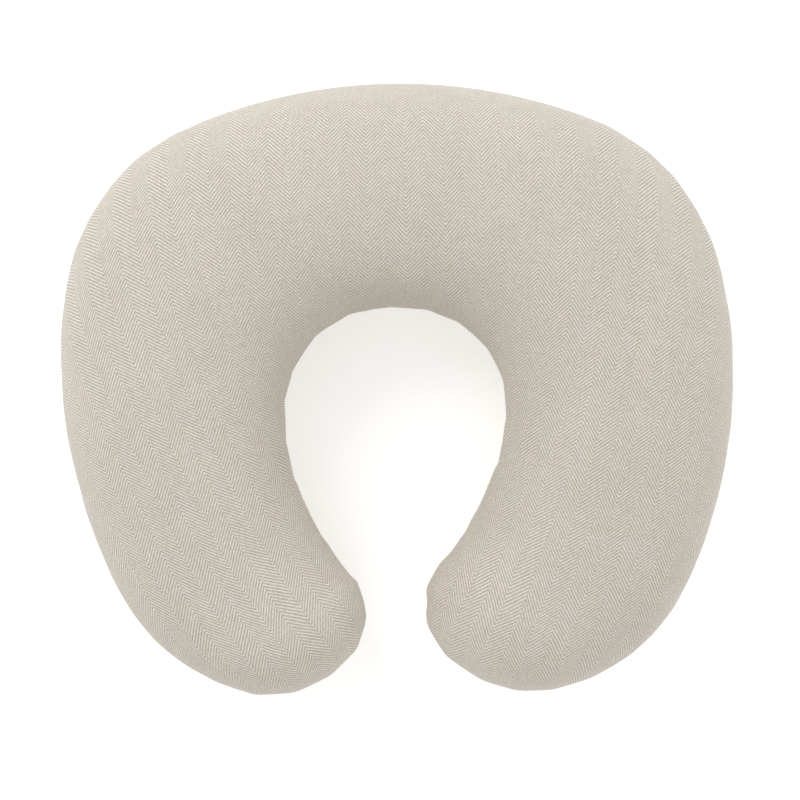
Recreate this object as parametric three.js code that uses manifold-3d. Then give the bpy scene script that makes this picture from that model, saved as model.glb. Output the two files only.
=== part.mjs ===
// Nursing pillow: a C-shaped stuffed pillow lying flat, in a zipped fabric cover.
// Millimetres, +Z up. The origin is under the middle of the pillow, on the surface that it lies on.
// +Y points to the back of the C, and the tips of both arms point to -Y.
import * as THREE from 'three';
import { mergeVertices } from 'three/addons/utils/BufferGeometryUtils.js';
import Module from 'manifold-3d';

const wasm = await Module();
wasm.setup();

const DEG = Math.PI / 180;
const GAP = 0.3;                  // air left between pieces that touch on the real pillow

// ---- Driving dimensions ----

const HALF_DEPTH = 240;           // from the origin to the back of the pillow
const HEIGHT = 145;               // crown above the surface it lies on
const WIDE_Z = 74;                // height of the widest line of the tube
const TIP_FULLNESS = 0.9;         // height of the arm tips, against the rest of the tube
const TAPER_START = 0.55;         // where along an arm the height starts to drop

// Right half of the plan outline, from the middle of the back round the arm and into the opening.
// Each arc is [radius, turn in degrees]; a positive turn is clockwise from above.
const BACK_RADIUS = 420;
const BACK_TURN = 22;
const OUTLINE_ARCS = [
  [BACK_RADIUS, BACK_TURN],       // back
  [165, 54],                      // shoulder
  [310, 13],                      // side
  [403, 21],
  [360, 7.5],
  [151, 47],                      // end of the arm
  [90, 65.5],
  [51, 81.5],                     // tip
  [213, -23],                     // inside of the arm
  [161, -18.5],
  [79, -80.5],                    // opening for the waist
];
const OUTER_END_ARC = 5;          // the rounded end starts inside this arc of the list above
const OUTER_TIP_TURN = 33;        // after this much of its turn
const INNER_END_ARC = 7;          // and it stops inside this arc
const INNER_TIP_TURN = 12;        // this much before its end

const SIDE_STEPS = 10;            // stations along an arm, from the back arc to its tip
const TIP_STEPS = 8;              // stations round a tip

// Section of the stuffed tube
const ROUNDNESS = 0.9;            // power of the upper profile: 1 is an ellipse, less is fuller
const UNDERSIDE_ROUNDNESS = 0.8;
const CROWN_ANGLES = [22.5, 45, 67.5, 90];
const UNDERSIDE_ANGLES = [30, 45, 57];
const FLAT_ANGLE = 66.5;          // where the underside meets the surface it lies on

// Cover: two fabric panels, sewn together along a seam just under the widest line
const SEAM_Z = 52;
const SEAM_INSET = 5;             // how far the seam draws the fabric in
const BAND_INSET = 3.6;           // the same, a little above the seam
const LOWER_BAND_INSET = 4.8;     // and a little below it
const BAND_HEIGHT = 5;            // from a folded edge at the zipper to that line
const COVER_THICK = 1;

// Zipper in the back seam, on the back arc
const OPENING_ANGLE = 20.6;       // half of the open length of the seam
const OPENING_STEPS = 5;
const OPENING_HALF = 6;           // from the seam line to each folded panel edge
const TAPE_ANGLE = 21.4;
const TAPE_TOP = 10.6;            // from the seam line to the tape's far edge
const TAPE_THICK = 0.5;
const TAPE_RADIUS = BACK_RADIUS - SEAM_INSET - COVER_THICK - 0.7;   // outer face of the tape
const CHAIN_HALF_GAP = 0.4;       // from the seam line to each coil
const COIL_HEIGHT = 2.1;
const COIL_THICK = 1.4;
const STOP_ANGLE = 19.45;
const STOP_LENGTH = 2.4;
const PARK_ANGLE = 18.6;          // the slider's place when the zipper is closed
const ARC_STEP = 2;               // degrees in each facet of the zipper's parts

// Slider and pull tab, in their own frame: x along the chain, y outwards, z up
const SLIDER_LENGTH = 9;
const SLIDER_FRONT_HALF = 4.2;
const SLIDER_REAR_HALF = 3.5;
const PLATE_THICK = 0.9;
const PLATE_CLEAR = 0.4;          // from the coil or the tape to a plate
const FLANGE_THICK = 0.6;
const NECK_THICK = 0.4;
const BRIDGE_LENGTH = 6.4;
const BRIDGE_WIDTH = 1.2;
const BRIDGE_RISE = 2.7;
const BRIDGE_METAL = 0.8;
const PIVOT_RISE = 1;             // the pull's pivot above the outer plate
const PIVOT_RADIUS = 0.5;
const PULL_LENGTH = 22;
const PULL_HALF_WIDTH = 2.5;
const PULL_THICK = 1;
const EYE_START = 4;              // from the pivot to the solid part of the pull
const EYE_HALF = 1.2;             // half of the eye's width

// Inner casing, filling and small sewn pieces
const CASING_INSET = 11;
const CASING_FLOOR = 2.2;
const CASING_DROP = 3;            // casing's crown under the cover's
const CASING_THICK = 0.8;
const CASING_SEAM_Z = 72;
const FILL_INSET = 13;
const FILL_FLOOR = 3.6;
const FILL_DROP = 4.6;
const THREAD = 0.6;
const STITCH_BACK = 2.5;          // from a folded edge at the zipper to its row of stitching
const STITCH_CLEAR = 0.4;
const BARTACK_ANGLE = 21.35;
const BARTACK_HALF = 5;
const BARTACK_LENGTH = 1.8;
const BARTACK_INSET = 4;
const LABEL_INSET = 8.2;
const LABEL_THICK = 0.4;

// ---- Plan outline ----

// Points on a line of arcs that meet smoothly, found by their distance along it.
class ArcLine {
  constructor(start, arcs) {
    this.pieces = [];
    this.end = start;
    this.heading = 0;
    this.length = 0;
    for (const [radius, turn] of arcs) {
      this.add(radius, turn);
    }
  }

  add(radius, turn) {
    const side = Math.sign(turn);
    const toCentre = new THREE.Vector2(Math.sin(this.heading), -Math.cos(this.heading));
    const centre = this.end.clone().addScaledVector(toCentre, side * radius);
    const piece = { centre, radius, side, heading: this.heading, start: this.length };
    this.pieces.push(piece);
    this.length += radius * Math.abs(turn) * DEG;
    this.heading -= turn * DEG;
    this.end = this.at(this.length).point;
  }

  at(distance) {
    const started = this.pieces.filter((piece) => piece.start <= distance + 1e-9);
    const { centre, radius, side, heading, start } = started[started.length - 1];
    const angle = heading - (side * (distance - start)) / radius;
    const outward = new THREE.Vector2(-Math.sin(angle), Math.cos(angle));
    return { point: centre.clone().addScaledVector(outward, side * radius), outward };
  }
}

// The last arc of the opening ends on the centre line, so its radius follows from where it starts.
function halfOutline() {
  const line = new ArcLine(new THREE.Vector2(0, HALF_DEPTH), OUTLINE_ARCS);
  const closingTurn = -180 - line.heading / DEG;
  line.add(line.end.x / Math.sin(line.heading), -Math.abs(closingTurn));
  return line;
}

const outline = halfOutline();
const [outerEnd, innerEnd] = [OUTER_END_ARC, INNER_END_ARC].map((i) => outline.pieces[i]);
const outerTip = outerEnd.start + outerEnd.radius * OUTER_TIP_TURN * DEG;
const innerTip = outline.pieces[INNER_END_ARC + 1].start - innerEnd.radius * INNER_TIP_TURN * DEG;

// Place on the middle line of the tube: 0 is the back of the C and 1 is the end of the arm.
function spinePoint(along) {
  const outer = outline.at(along * outerTip).point;
  const inner = outline.at(outline.length - along * (outline.length - innerTip)).point;
  return outer.add(inner).multiplyScalar(0.5);
}

function station(distance, along) {
  const { point, outward } = outline.at(distance);
  return { point, outward, spine: spinePoint(along), along };
}

// Places along an arm. They are closest along the zipper, whose parts are fitted to its arc.
function armPlaces() {
  const places = [];
  for (let i = 0; i <= OPENING_STEPS; i += 1) {
    places.push((BACK_RADIUS * OPENING_ANGLE * DEG * i) / OPENING_STEPS / outerTip);
  }
  const first = (BACK_RADIUS * BACK_TURN * DEG) / outerTip;
  for (let i = 0; i <= SIDE_STEPS; i += 1) {
    places.push(first + ((1 - first) * i) / SIDE_STEPS);
  }
  return places;
}

// One turn round the outline. Outer and inner stations come in pairs that share a spine point.
function allStations() {
  const places = armPlaces();
  const right = places.map((along) => station(along * outerTip, along));
  for (let i = 1; i < TIP_STEPS; i += 1) {
    right.push(station(outerTip + ((innerTip - outerTip) * i) / TIP_STEPS, 1));
  }
  for (const along of [...places].reverse()) {
    right.push(station(outline.length - along * (outline.length - innerTip), along));
  }
  const flip = (vector) => new THREE.Vector2(-vector.x, vector.y);
  const left = right.slice(1, -1).reverse().map((s) => (
    { point: flip(s.point), outward: flip(s.outward), spine: flip(s.spine), along: s.along }
  ));
  return [...right, ...left];
}

const stations = allStations();

// ---- Stuffed tube ----

// A ring is a height and a place across the tube at each station: first an inset from the
// outline in millimetres, then a share of the way from there to the middle line.
function ringPoint(s, ring) {
  const edge = s.point.clone().addScaledVector(s.outward, -ring.inset);
  const place = edge.lerp(s.spine, ring.share);
  const z = typeof ring.z === 'function' ? ring.z(s) : ring.z;
  return new THREE.Vector3(place.x, place.y, z);
}

function fullness(s) {
  return THREE.MathUtils.lerp(1, TIP_FULLNESS, THREE.MathUtils.smoothstep(s.along, TAPER_START, 1));
}

// From the widest line up to the middle of the crown.
function crownRings(inset, drop) {
  return CROWN_ANGLES.map((angle) => ({
    inset,
    share: 1 - Math.cos(angle * DEG) ** ROUNDNESS,
    z: (s) => WIDE_Z + (HEIGHT * fullness(s) - drop - WIDE_Z) * Math.sin(angle * DEG) ** ROUNDNESS,
  }));
}

// From the widest line down to the flat underside and across it to its middle.
function undersideRings(inset, floor) {
  const fullDrop = Math.sin(FLAT_ANGLE * DEG) ** ROUNDNESS;
  const rings = [...UNDERSIDE_ANGLES, FLAT_ANGLE].map((angle) => ({
    inset,
    share: 1 - Math.cos(angle * DEG) ** UNDERSIDE_ROUNDNESS,
    z: WIDE_Z - ((WIDE_Z - floor) * Math.sin(angle * DEG) ** ROUNDNESS) / fullDrop,
  }));
  rings.push({ inset, share: 1, z: floor });
  return rings;
}

function quad(triangles, a, b, c, d) {
  triangles.push(a, b, c, a, c, d);
}

// The skin over a list of rings, its first ring outermost.
function skin(rings, triangles, facingOut) {
  for (let r = 0; r < rings.length - 1; r += 1) {
    for (let i = 0; i < stations.length; i += 1) {
      const here = stations[i];
      const next = stations[(i + 1) % stations.length];
      const corners = [
        ringPoint(here, rings[r]),
        ringPoint(here, rings[r + 1]),
        ringPoint(next, rings[r + 1]),
        ringPoint(next, rings[r]),
      ];
      quad(triangles, ...(facingOut ? corners.reverse() : corners));
    }
  }
}

function solidOf(triangles) {
  const raw = new THREE.BufferGeometry().setFromPoints(triangles);
  const merged = mergeVertices(raw, 1e-4);
  const index = merged.index.array;
  const kept = [];
  for (let i = 0; i < index.length; i += 3) {
    const [a, b, c] = [index[i], index[i + 1], index[i + 2]];
    if (a !== b && b !== c && c !== a) {
      kept.push(a, b, c);
    }
  }
  merged.setIndex(kept);
  merged.computeVertexNormals();
  return merged;
}

// A fabric shell between two skins, closed along its edge. An upper shell's rings climb
// from the edge and a lower shell's rings go down, so their skins face opposite ways.
function shell(outside, inside, upper) {
  const triangles = [];
  skin(outside, triangles, !upper);
  skin(inside, triangles, upper);
  skin([outside[0], inside[0]], triangles, upper);
  return solidOf(triangles);
}

// ---- Cover ----

// Half the gap between the two panels: wide at the zipper, and a hair along the sewn seam.
function panelGap(s) {
  const back = Math.abs(s.point.x) <= BACK_RADIUS * Math.sin(OPENING_ANGLE * DEG) + 0.01;
  return back && s.point.y > HALF_DEPTH / 2 ? OPENING_HALF : GAP / 2;
}

function coverTopRings(depth) {
  return [
    { inset: SEAM_INSET + depth, share: 0, z: (s) => SEAM_Z + panelGap(s) },
    { inset: BAND_INSET + depth, share: 0, z: SEAM_Z + OPENING_HALF + BAND_HEIGHT },
    { inset: depth, share: 0, z: WIDE_Z },
    ...crownRings(depth, depth),
  ];
}

function coverBottomRings(depth) {
  return [
    { inset: SEAM_INSET + depth, share: 0, z: (s) => SEAM_Z - panelGap(s) },
    { inset: LOWER_BAND_INSET + depth, share: 0, z: SEAM_Z - OPENING_HALF - BAND_HEIGHT },
    ...undersideRings(depth, depth),
  ];
}

const coverTop = () => shell(coverTopRings(0), coverTopRings(COVER_THICK), true);
const coverBottom = () => shell(coverBottomRings(0), coverBottomRings(COVER_THICK), false);

// A thread sewn along the outline, over the unbroken run of stations that the test picks.
function sewnThread(inset, z, picked) {
  const corners = [
    { inset, share: 0, z: z + THREAD / 2 },
    { inset: inset + THREAD, share: 0, z },
    { inset, share: 0, z: z - THREAD / 2 },
  ];
  const sections = stations.filter(picked).map((s) => corners.map((corner) => ringPoint(s, corner)));
  const triangles = [];
  for (let i = 0; i < sections.length - 1; i += 1) {
    const [here, next] = [sections[i], sections[i + 1]];
    for (let c = 0; c < corners.length; c += 1) {
      const d = (c + 1) % corners.length;
      quad(triangles, next[c], here[c], here[d], next[d]);
    }
  }
  const first = sections[0];
  triangles.push(first[0], first[2], first[1], ...sections[sections.length - 1]);
  return solidOf(triangles);
}

// ---- Inner casing and filling ----

function casingTopRings(depth) {
  return [
    { inset: CASING_INSET + depth, share: 0, z: CASING_SEAM_Z + GAP / 2 },
    ...crownRings(CASING_INSET + depth, CASING_DROP + depth),
  ];
}

function casingBottomRings(depth) {
  return [
    { inset: CASING_INSET + depth, share: 0, z: CASING_SEAM_Z - GAP / 2 },
    ...undersideRings(CASING_INSET + depth, CASING_FLOOR + depth),
  ];
}

const casingTop = () => shell(casingTopRings(0), casingTopRings(CASING_THICK), true);
const casingBottom = () => shell(casingBottomRings(0), casingBottomRings(CASING_THICK), false);

function filling() {
  const middle = { inset: FILL_INSET, share: 0, z: CASING_SEAM_Z };
  const triangles = [];
  skin([middle, ...crownRings(FILL_INSET, FILL_DROP)], triangles, false);
  skin([middle, ...undersideRings(FILL_INSET, FILL_FLOOR)], triangles, true);
  return solidOf(triangles);
}

// A blank fabric label standing on a seam, on the long side of an arm.
function label(width, height) {
  return new THREE.BoxGeometry(LABEL_THICK, width, height).translate(0, 0, height / 2);
}

// ---- Zipper ----

// The span between two distances from the middle plane, on one side of it, lowest value first.
const onSide = (side, near, far) => (side > 0 ? [near, far] : [-far, -near]);

// A bar that follows the back arc, between two radii, two heights and two angles from +Y
// towards +X. It is made round the arc's centre, at the height of the seam line.
function arcBar(radii, heights, angles) {
  const [inner, outer] = radii;
  const [from, to] = angles.map((angle) => Math.PI / 2 - angle * DEG);
  const steps = Math.max(1, Math.ceil(Math.abs(angles[1] - angles[0]) / ARC_STEP));
  const shape = new THREE.Shape();
  for (let i = 0; i <= steps; i += 1) {
    const angle = from + ((to - from) * i) / steps;
    const start = i === 0 ? 'moveTo' : 'lineTo';
    shape[start](outer * Math.cos(angle), outer * Math.sin(angle));
  }
  for (let i = steps; i >= 0; i -= 1) {
    const angle = from + ((to - from) * i) / steps;
    shape.lineTo(inner * Math.cos(angle), inner * Math.sin(angle));
  }
  const bar = new THREE.ExtrudeGeometry(shape, { depth: heights[1] - heights[0], bevelEnabled: false });
  return bar.translate(0, 0, heights[0]);
}

// The same bar on the upper or the lower side of the seam line.
const sideBar = (radii, heights, angles, side) => arcBar(radii, onSide(side, ...heights), angles);

const COIL_RADIUS = TAPE_RADIUS + GAP;
const COIL_TOP = CHAIN_HALF_GAP + COIL_HEIGHT;
const stopAngles = [STOP_ANGLE, STOP_ANGLE + STOP_LENGTH / BACK_RADIUS / DEG];
const stopRadii = [COIL_RADIUS, COIL_RADIUS + COIL_THICK + 0.2];

function tape(side) {
  const radii = [TAPE_RADIUS - TAPE_THICK, TAPE_RADIUS];
  return sideBar(radii, [CHAIN_HALF_GAP, TAPE_TOP], [-TAPE_ANGLE, TAPE_ANGLE], side);
}

function coil(side) {
  const radii = [COIL_RADIUS, COIL_RADIUS + COIL_THICK];
  return sideBar(radii, [CHAIN_HALF_GAP, COIL_TOP], [-STOP_ANGLE + 0.05, STOP_ANGLE - 0.05], side);
}

function topStop(side) {
  return sideBar(stopRadii, [CHAIN_HALF_GAP, COIL_TOP + 0.4], stopAngles, side);
}

function bottomStop() {
  const heights = [-COIL_TOP - 0.4, COIL_TOP + 0.4];
  return arcBar(stopRadii, heights, [-stopAngles[1], -stopAngles[0]]);
}

// Row of stitching that holds a folded panel edge to the tape, on the face of the panel.
function stitching(side) {
  const band = side > 0 ? BAND_INSET : LOWER_BAND_INSET;
  const inset = THREE.MathUtils.lerp(SEAM_INSET, band, STITCH_BACK / BAND_HEIGHT);
  const radius = BACK_RADIUS - inset + STITCH_CLEAR;
  const height = OPENING_HALF + STITCH_BACK;
  const heights = [height - THREAD / 2, height + THREAD / 2];
  return sideBar([radius, radius + THREAD], heights, [-OPENING_ANGLE, OPENING_ANGLE], side);
}

// Dense stitching across an end of the zipper.
function bartack(side) {
  const centre = side * BARTACK_ANGLE;
  const half = BARTACK_LENGTH / 2 / BACK_RADIUS / DEG;
  const radius = BACK_RADIUS - BARTACK_INSET;
  return arcBar([radius, radius + THREAD], [-BARTACK_HALF, BARTACK_HALF], [centre - half, centre + half]);
}

// ---- Slider and pull ----

function asManifold(geometry) {
  const bare = geometry.clone();
  bare.deleteAttribute('normal');
  bare.deleteAttribute('uv');
  const merged = mergeVertices(bare, 1e-4);
  return new wasm.Manifold(new wasm.Mesh({
    numProp: 3,
    vertProperties: new Float32Array(merged.attributes.position.array),
    triVerts: new Uint32Array(merged.index.array),
  }));
}

function fromManifold(solid) {
  const mesh = solid.getMesh();
  const geometry = new THREE.BufferGeometry();
  geometry.setAttribute('position', new THREE.BufferAttribute(new Float32Array(mesh.vertProperties), 3));
  geometry.setIndex(new THREE.BufferAttribute(new Uint32Array(mesh.triVerts), 1));
  geometry.computeVertexNormals();
  return geometry;
}

const joined = (solids) => fromManifold(solids.map(asManifold).reduce((a, b) => a.add(b)));

function box(xs, ys, zs) {
  const size = [xs, ys, zs].map(([low, high]) => high - low);
  const middle = [xs, ys, zs].map(([low, high]) => (low + high) / 2);
  return new THREE.BoxGeometry(...size).translate(...middle);
}

// An outline in x and z, pushed out along y between two heights.
function plate(shape, ys) {
  const geometry = new THREE.ExtrudeGeometry(shape, {
    depth: ys[1] - ys[0], bevelEnabled: false, curveSegments: 4,
  });
  return geometry.rotateX(Math.PI / 2).translate(0, ys[1], 0);
}

// Outline of a slider plate: wide at the front, where the two halves of the chain come in.
function plateShape() {
  const half = SLIDER_LENGTH / 2;
  const shape = new THREE.Shape();
  shape.moveTo(-half, -SLIDER_REAR_HALF + 1);
  shape.quadraticCurveTo(-half, -SLIDER_REAR_HALF, -half + 1, -SLIDER_REAR_HALF);
  shape.lineTo(half - 3, -SLIDER_FRONT_HALF);
  shape.quadraticCurveTo(half, -SLIDER_FRONT_HALF, half, -1);
  shape.lineTo(half, 1);
  shape.quadraticCurveTo(half, SLIDER_FRONT_HALF, half - 3, SLIDER_FRONT_HALF);
  shape.lineTo(-half + 1, SLIDER_REAR_HALF);
  shape.quadraticCurveTo(-half, SLIDER_REAR_HALF, -half, SLIDER_REAR_HALF - 1);
  return shape;
}

const INNER_PLATE_TOP = TAPE_RADIUS - TAPE_THICK - PLATE_CLEAR - BACK_RADIUS;
const OUTER_PLATE_BASE = COIL_RADIUS + COIL_THICK + PLATE_CLEAR - BACK_RADIUS;
const OUTER_PLATE_TOP = OUTER_PLATE_BASE + PLATE_THICK;
const PIVOT_Y = OUTER_PLATE_TOP + PIVOT_RISE;

// Two plates joined by a thin neck at the front, flanges that keep the coils in, and a bridge
// over the outer plate for the pull.
function sliderBody() {
  const half = SLIDER_LENGTH / 2;
  const flangeHeights = [TAPE_RADIUS + GAP - BACK_RADIUS, OUTER_PLATE_BASE + 0.1];
  const flanges = [-1, 1].map((side) => {
    const zs = onSide(side, SLIDER_REAR_HALF - FLANGE_THICK, SLIDER_REAR_HALF);
    return box([-half + 1, half - 3.2], flangeHeights, zs);
  });
  const bridgeTop = OUTER_PLATE_TOP + BRIDGE_RISE;
  const posts = [-1, 1].map((side) => {
    const xs = onSide(side, BRIDGE_LENGTH / 2 - BRIDGE_METAL, BRIDGE_LENGTH / 2);
    return box(xs, [OUTER_PLATE_TOP - 0.1, bridgeTop], [-BRIDGE_WIDTH / 2, BRIDGE_WIDTH / 2]);
  });
  return joined([
    plate(plateShape(), [OUTER_PLATE_BASE, OUTER_PLATE_TOP]),
    plate(plateShape(), [INNER_PLATE_TOP - PLATE_THICK, INNER_PLATE_TOP]),
    box([half - 2.4, half - 0.4], [INNER_PLATE_TOP - 0.1, OUTER_PLATE_BASE + 0.1],
      [-NECK_THICK / 2, NECK_THICK / 2]),
    ...flanges,
    ...posts,
    box([-BRIDGE_LENGTH / 2, BRIDGE_LENGTH / 2], [bridgeTop - BRIDGE_METAL, bridgeTop],
      [-BRIDGE_WIDTH / 2, BRIDGE_WIDTH / 2]),
  ]);
}

// The pull lies back along the closed chain. Its eye goes round the bridge, and the bar
// across the end of the eye turns under the bridge.
function pullTab() {
  const bar = new THREE.CylinderGeometry(PIVOT_RADIUS, PIVOT_RADIUS, 2 * PULL_HALF_WIDTH, 12);
  bar.rotateX(Math.PI / 2);
  const rails = [-1, 1].map((side) => {
    const zs = onSide(side, EYE_HALF, PULL_HALF_WIDTH);
    return box([-EYE_START - 0.1, 0], [-PULL_THICK / 2, PULL_THICK / 2], zs);
  });
  const shape = new THREE.Shape();
  shape.moveTo(-EYE_START, -PULL_HALF_WIDTH);
  shape.lineTo(-EYE_START, PULL_HALF_WIDTH);
  shape.lineTo(-PULL_LENGTH + 2, PULL_HALF_WIDTH);
  shape.quadraticCurveTo(-PULL_LENGTH, PULL_HALF_WIDTH, -PULL_LENGTH, 0);
  shape.quadraticCurveTo(-PULL_LENGTH, -PULL_HALF_WIDTH, -PULL_LENGTH + 2, -PULL_HALF_WIDTH);
  return joined([bar, ...rails, plate(shape, [-PULL_THICK / 2, PULL_THICK / 2])]);
}

// ---- Materials ----

const finishes = {
  fabric: { color: 0xcbc4b8, roughness: 0.95, metalness: 0 },
  lining: { color: 0xf1efea, roughness: 0.9, metalness: 0 },
  fibre: { color: 0xf8f8f6, roughness: 1, metalness: 0 },
  tape: { color: 0xc9c1b3, roughness: 0.9, metalness: 0 },
  coil: { color: 0xd2cabc, roughness: 0.5, metalness: 0 },
  thread: { color: 0xd8d0c2, roughness: 0.8, metalness: 0 },
  label: { color: 0xf5f4f0, roughness: 0.6, metalness: 0 },
  metal: { color: 0xb9b6b0, roughness: 0.35, metalness: 1 },
};

// ---- The pillow ----

const pillow = new THREE.Group();

function addPart(parent, name, geometry, finish) {
  const mesh = new THREE.Mesh(geometry, new THREE.MeshStandardMaterial(finishes[finish]));
  mesh.name = name;
  parent.add(mesh);
  return mesh;
}

addPart(pillow, 'cover_top_panel', coverTop(), 'fabric');
addPart(pillow, 'cover_bottom_panel', coverBottom(), 'fabric');
addPart(pillow, 'inner_casing_top', casingTop(), 'lining');
addPart(pillow, 'inner_casing_bottom', casingBottom(), 'lining');
addPart(pillow, 'fibre_fill', filling(), 'fibre');

const alongSeam = (s) => panelGap(s) < OPENING_HALF;
addPart(pillow, 'cover_seam_thread', sewnThread(SEAM_INSET + COVER_THICK + GAP, SEAM_Z, alongSeam), 'thread');
const closingInset = CASING_INSET - THREAD - GAP;
const besideWaist = (s) => s.point.x < 0 && s.point.x > -100 && s.point.y > 0 && s.point.y < HALF_DEPTH / 2;
addPart(pillow, 'casing_closing_thread', sewnThread(closingInset, CASING_SEAM_Z, besideWaist), 'thread');

// Both labels hang on the nearly straight outer sides, one on each arm.
const sideStation = outline.at(outline.pieces[3].start);
for (const [name, side, foot, width, height] of [
  ['care_label', -1, SEAM_Z + 1, 30, 34],
  ['inner_casing_label', 1, CASING_SEAM_Z - 10, 44, 26],
]) {
  const tag = addPart(pillow, name, label(width, height), 'label');
  const place = sideStation.point.clone().addScaledVector(sideStation.outward, -LABEL_INSET);
  tag.position.set(side * place.x, place.y, foot);
  tag.rotation.z = side * Math.atan2(sideStation.outward.y, sideStation.outward.x);
}

const zipper = new THREE.Group();
zipper.position.set(0, HALF_DEPTH - BACK_RADIUS, SEAM_Z);
pillow.add(zipper);
for (const [word, side] of [['upper', 1], ['lower', -1]]) {
  addPart(zipper, `zipper_tape_${word}`, tape(side), 'tape');
  addPart(zipper, `zipper_coil_${word}`, coil(side), 'coil');
  addPart(zipper, `zipper_top_stop_${word}`, topStop(side), 'metal');
  addPart(zipper, `zipper_stitching_${word}`, stitching(side), 'thread');
}
addPart(zipper, 'zipper_bottom_stop', bottomStop(), 'metal');
addPart(zipper, 'zipper_bartack_left', bartack(-1), 'thread');
addPart(zipper, 'zipper_bartack_right', bartack(1), 'thread');

const carriage = new THREE.Group();
carriage.rotation.z = -PARK_ANGLE * DEG;
zipper.add(carriage);
const slider = addPart(carriage, 'zipper_slider', sliderBody(), 'metal');
slider.position.y = BACK_RADIUS;
const pull = addPart(carriage, 'zipper_pull', pullTab(), 'metal');
pull.position.y = BACK_RADIUS + PIVOT_Y;

export default pillow;
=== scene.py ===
"""Looks of a C-shaped nursing pillow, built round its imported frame. Metres, +Z up.

The pillow lies flat with the back of its C towards +Y. Its cover is two panels of herringbone
cloth, inflated by cloth simulation and cut apart again along the seam and the zipper.
"""
import math

import bpy
import numpy as np
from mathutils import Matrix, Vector, noise


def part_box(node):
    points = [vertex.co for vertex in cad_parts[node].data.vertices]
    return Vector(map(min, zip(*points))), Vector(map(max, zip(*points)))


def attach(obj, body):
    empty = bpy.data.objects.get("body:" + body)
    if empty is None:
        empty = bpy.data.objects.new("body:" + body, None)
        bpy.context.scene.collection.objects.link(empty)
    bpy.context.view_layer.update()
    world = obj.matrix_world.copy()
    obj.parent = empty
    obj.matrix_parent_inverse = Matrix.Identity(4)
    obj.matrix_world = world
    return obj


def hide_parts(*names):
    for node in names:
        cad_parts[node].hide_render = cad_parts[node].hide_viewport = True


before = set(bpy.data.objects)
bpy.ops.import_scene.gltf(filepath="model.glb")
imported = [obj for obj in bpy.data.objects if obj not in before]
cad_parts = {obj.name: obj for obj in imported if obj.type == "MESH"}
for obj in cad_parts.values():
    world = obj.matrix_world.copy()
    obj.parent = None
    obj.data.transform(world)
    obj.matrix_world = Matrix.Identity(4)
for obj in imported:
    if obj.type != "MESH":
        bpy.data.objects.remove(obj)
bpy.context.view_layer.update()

MM = 0.001
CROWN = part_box("cover_top_panel")[1]
HEIGHT = CROWN.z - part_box("cover_bottom_panel")[0].z
HALF_DEPTH = CROWN.y

# ---- Plan outline: the right half, from the middle of the back into the opening ----

BACK_RADIUS = 420 * MM
OUTLINE_ARCS = (  # radius in mm, clockwise turn in degrees
    (420, 22),  # back
    (165, 54),  # shoulder
    (310, 13), (403, 21), (360, 7.5),
    (151, 47), (90, 65.5),  # end of the arm
    (51, 81.5),  # tip
    (213, -23), (161, -18.5),  # inside of the arm
    (79, -80.5),  # waist opening
)
OUTER_END = (5, 33)  # arc and turn where the rounded end of the arm starts
INNER_END = (7, 69.5)  # and where it stops
ARM_STEPS = 112  # stations along an arm
TIP_STEPS = 44  # stations round its end
FINE_ANGLES = (19.9, 22.2, 0.3)  # closer stations round each end of the zipper: from, to, step

# Stuffed by hand, it isn't quite even. Both arms sway towards +X, the right arm is drawn up and
# fuller, and the left arm is let down and slimmer.
ARM_REACH = 200 * MM  # depth over which the arms drift
MOST_REACH = 1.25
ARM_SWAY = 1.8 * MM
ARM_DROP = 3.8 * MM
DROP_WIDTH = 60 * MM
ARM_FILL = (3.6 * MM, 0.35, 0.9)  # amount, and where along the arm it starts and is reached
END_FILL = (1.4 * MM, 0.85, 1.0)
FLAT_LENGTH = 30 * MM  # of the flats between gathers, where the seam goes round a curve
FLAT_WANDER = 0.4  # share of that length by which a gather is out of place
FLAT_SHARE = 0.7  # 1 is a straight line from gather to gather
FLAT_REACH = 38 * MM  # how far above the seam they fade out
SWELL_DEPTH = 0.7 * MM  # broad unevenness of the outline
SWELL_LENGTH = 45 * MM
# Depth, length and reach from the seam of its coarse and its fine gathers
GATHERS = ((1.5 * MM, 15 * MM, 17 * MM), (0.7 * MM, 7 * MM, 7 * MM))
TUCKS = ((-29.5, -176), (20.5, -168))  # small tucks (x, y in mm) where the ends face each other
TUCK_DEPTH = 1.6 * MM
TUCK_WIDTH = 4 * MM

# ---- Section of the stuffed tube ----

WIDE_Z = 74 * MM  # height of the widest line
SEAM_Z = 52 * MM
TIP_FULLNESS = 0.9
TAPER_START = 0.55
ROUNDNESS = 0.9
UNDERSIDE_ROUNDNESS = 0.8
FLAT_ANGLE = 66.5
CROWN_STEPS = 12
UNDER_ANGLES = (32, 38, 44, 50, 56, 61.5, FLAT_ANGLE)
FLAT_STEPS = 6

# Rows of the cloth beside the seam, as (inset from the outline, height) in mm, from the
# turned-in hem outwards. Sewn rows close the seam; zipped rows stop at the zipper's edges.
TOP_SEWN = ((7.4, 53.4), (5.9, 52.06), (5.2, 52.9), (4.3, 54.6),
            (3.1, 57.4), (1.8, 61.4), (0.7, 66.4), (0.1, 71))
TOP_ZIPPED = ((6.6, 60.2), (5.9, 58.1), (5.0, 58.4), (4.5, 60.2),
              (3.7, 62.6), (2.4, 65.6), (1.1, 69), (0.2, 72))
LOW_SEWN = ((7.4, 50.6), (5.9, 51.94), (5.2, 51.1), (4.5, 49.4),
            (4.4, 46.4), (5.0, 42.6), (6.4, 38.6), (8.2, 35))
LOW_ZIPPED = ((6.6, 43.8), (5.9, 45.9), (5.0, 45.6), (4.8, 43.8),
              (4.9, 41.8), (5.6, 39.6), (7.0, 37.2), (8.8, 34.4))
HEM_ROWS = 2  # of them belong to the turned-in hem

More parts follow.
